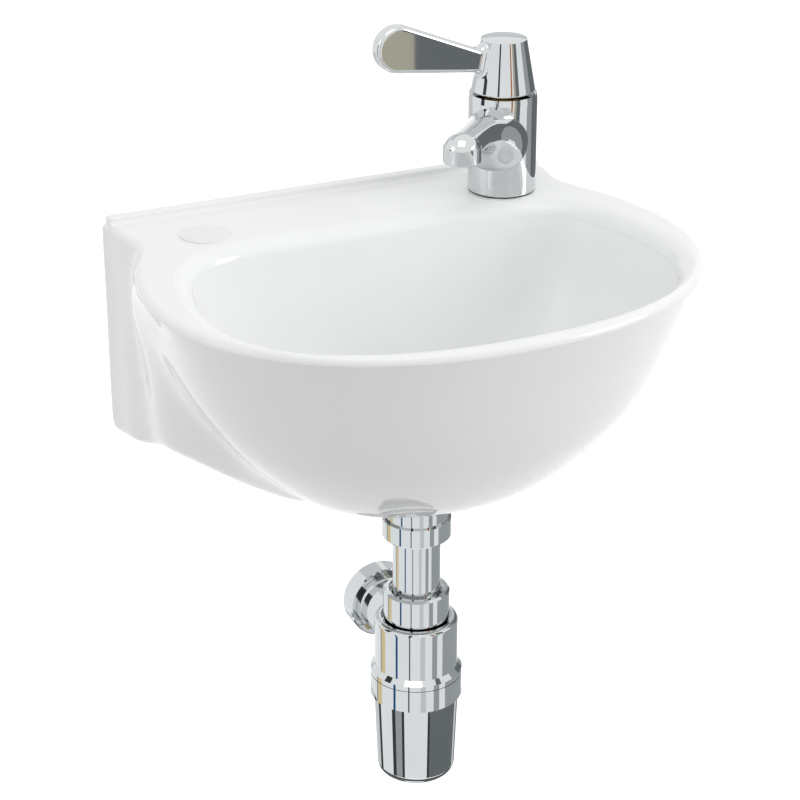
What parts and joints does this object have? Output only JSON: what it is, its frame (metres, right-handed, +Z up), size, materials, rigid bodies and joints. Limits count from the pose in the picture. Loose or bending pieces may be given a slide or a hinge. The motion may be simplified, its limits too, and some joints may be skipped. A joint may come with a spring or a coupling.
{
  "type": "finger rinse basin",
  "caption": "Small wall-hung white ceramic hand-rinse basin with a chromed quarter-turn lever tap, a blanked spare tap hole and a chromed bottle trap.",
  "frame": {"origin": "on the wall plane, midway between the two wall fixing holes", "axes": "+X to the right seen from the front, +Y into the wall, +Z up"},
  "size_m": [0.36, 0.297, 0.4998],
  "materials": {
    "glazed_vitreous_china": "white gloss glaze",
    "white_plastic": "moulded gloss",
    "nylon": "moulded satin",
    "chromed_brass": "bright chrome plating on brass",
    "brass": "turned",
    "stainless_steel": "pressed and turned",
    "alumina": "lapped",
    "seal_rubber": "moulded"
  },
  "bodies": {
    "basin_and_fittings": {"basin": "glazed_vitreous_china", "tap_hole_stopper": "white_plastic", "stopper_washer": "nylon", "stopper_nut": "nylon", "tap_body": "chromed_brass", "tap_foot_seal": "seal_rubber", "tap_clamp_washer": "stainless_steel", "tap_backnut": "brass", "outlet_ring": "chromed_brass", "flow_straightener": "nylon", "outlet_washer": "seal_rubber", "valve_seat_seal": "seal_rubber", "fixed_ceramic_disc": "alumina", "valve_body": "brass", "tap_collar_ring": "chromed_brass", "waste_fitting": "chromed_brass", "waste_upper_seal": "seal_rubber", "waste_lower_seal": "seal_rubber", "waste_backnut": "brass", "trap_inlet_nut": "chromed_brass", "trap_inlet_seal": "seal_rubber", "trap_inlet_tube": "chromed_brass", "trap_body": "chromed_brass", "trap_top_nut": "chromed_brass", "trap_top_seal": "seal_rubber", "trap_outlet_nut": "chromed_brass", "trap_outlet_seal": "seal_rubber", "trap_bottle_seal": "seal_rubber"},
    "lever": {"lever_handle": "chromed_brass", "handle_cap": "chromed_brass", "handle_screw": "stainless_steel", "valve_spindle": "brass", "moving_ceramic_disc": "alumina", "spindle_seals": "seal_rubber", "spindle_clip": "stainless_steel"},
    "bottle": {"trap_bottle": "chromed_brass", "trap_collar_ring": "chromed_brass"}
  },
  "joints": [
    {"name": "lever_turn", "type": "hinge", "parent": "basin_and_fittings", "child": "lever", "pos_m": [0.107, -0.05, 0.1391], "axis": [0, 0, 1], "range_deg": [0, 90]},
    {"name": "bottle_drop", "type": "slide", "parent": "basin_and_fittings", "child": "bottle", "axis": [0, 0, 1], "range_m": [-0.095, 0]}
  ]
}
